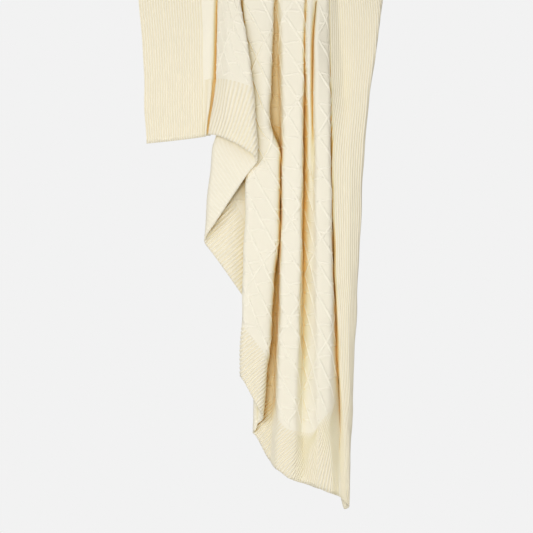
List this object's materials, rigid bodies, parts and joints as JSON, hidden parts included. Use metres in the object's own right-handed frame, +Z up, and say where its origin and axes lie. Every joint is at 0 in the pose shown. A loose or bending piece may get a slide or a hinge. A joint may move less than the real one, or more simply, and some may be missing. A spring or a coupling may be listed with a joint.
{
  "type": "folded throw blanket",
  "caption": "Knitted throw gathered into lengthwise pleats and folded into leaves on a flat support, with one end falling over its edge as a stepped cascade.",
  "frame": {"origin": "centre of the face that rests on the support, 145 mm behind the support's front edge", "axes": "+X across the throw to the viewer's right, -Y to the front where the end falls, +Z up"},
  "size_m": [0.5184, 0.4204, 1.1906],
  "materials": {
    "knit_panel": "matt cream cotton-like knit, smooth ground with raised diamond lattice lines",
    "knit_rib": "matt cream cotton-like knit, fine ribs",
    "label_tape": "blank woven satin tape",
    "label_thread": "matt sewing thread"
  },
  "bodies": {
    "folded_stack": {"edge_bend_upper": "knit_panel", "front_fold": "knit_panel", "lower_leaf_left_border": "knit_rib", "lower_leaf_panel": "knit_panel", "lower_leaf_right_border": "knit_rib", "middle_leaf_left_border": "knit_rib", "middle_leaf_panel": "knit_panel", "middle_leaf_right_border": "knit_rib", "rear_fold": "knit_panel", "top_leaf_front": "knit_panel"},
    "front_fall": {"fall_flap_inner": "knit_panel", "fall_flap_inner_hem": "knit_rib", "fall_left_border": "knit_rib", "fall_left_border_hem": "knit_rib", "fall_pleat_1_front": "knit_panel", "fall_pleat_1_front_hem": "knit_rib", "fall_pleat_1_return": "knit_panel", "fall_pleat_1_return_hem": "knit_rib", "fall_pleat_2_front": "knit_panel", "fall_pleat_2_front_hem": "knit_rib", "fall_pleat_2_rear": "knit_panel", "fall_pleat_2_rear_hem": "knit_rib", "fall_pleat_2_return": "knit_panel", "fall_pleat_2_return_hem": "knit_rib", "fall_pleat_3_front": "knit_panel", "fall_pleat_3_front_hem": "knit_rib", "fall_pleat_3_return": "knit_panel", "fall_pleat_3_return_hem": "knit_rib", "fall_pleat_4_front": "knit_panel", "fall_pleat_4_front_hem": "knit_rib", "fall_right_border": "knit_rib", "fall_right_border_hem": "knit_rib", "edge_bend_lower": "knit_panel"},
    "top_leaf": {"top_leaf_left_border": "knit_rib", "top_leaf_panel": "knit_panel", "top_leaf_right_border": "knit_rib", "top_leaf_rear_hem": "knit_rib", "care_label_tab": "label_tape", "label_stitches": "label_thread"},
    "care_label": {"care_label": "label_tape"}
  },
  "joints": [
    {"name": "front_fall_swing", "type": "hinge", "parent": "folded_stack", "child": "front_fall", "pos_m": [0, -0.173, 0.02], "axis": [-1, 0, 0], "range_deg": [0, 60]},
    {"name": "top_leaf_lift", "type": "hinge", "parent": "folded_stack", "child": "top_leaf", "pos_m": [0, -0.13, 0.068], "axis": [1, 0, 0], "range_deg": [0, 60]},
    {"name": "care_label_flip", "type": "hinge", "parent": "top_leaf", "child": "care_label", "pos_m": [0.013, 0.1818, 0.0683], "axis": [1, 0, 0], "range_deg": [0, 135]}
  ]
}
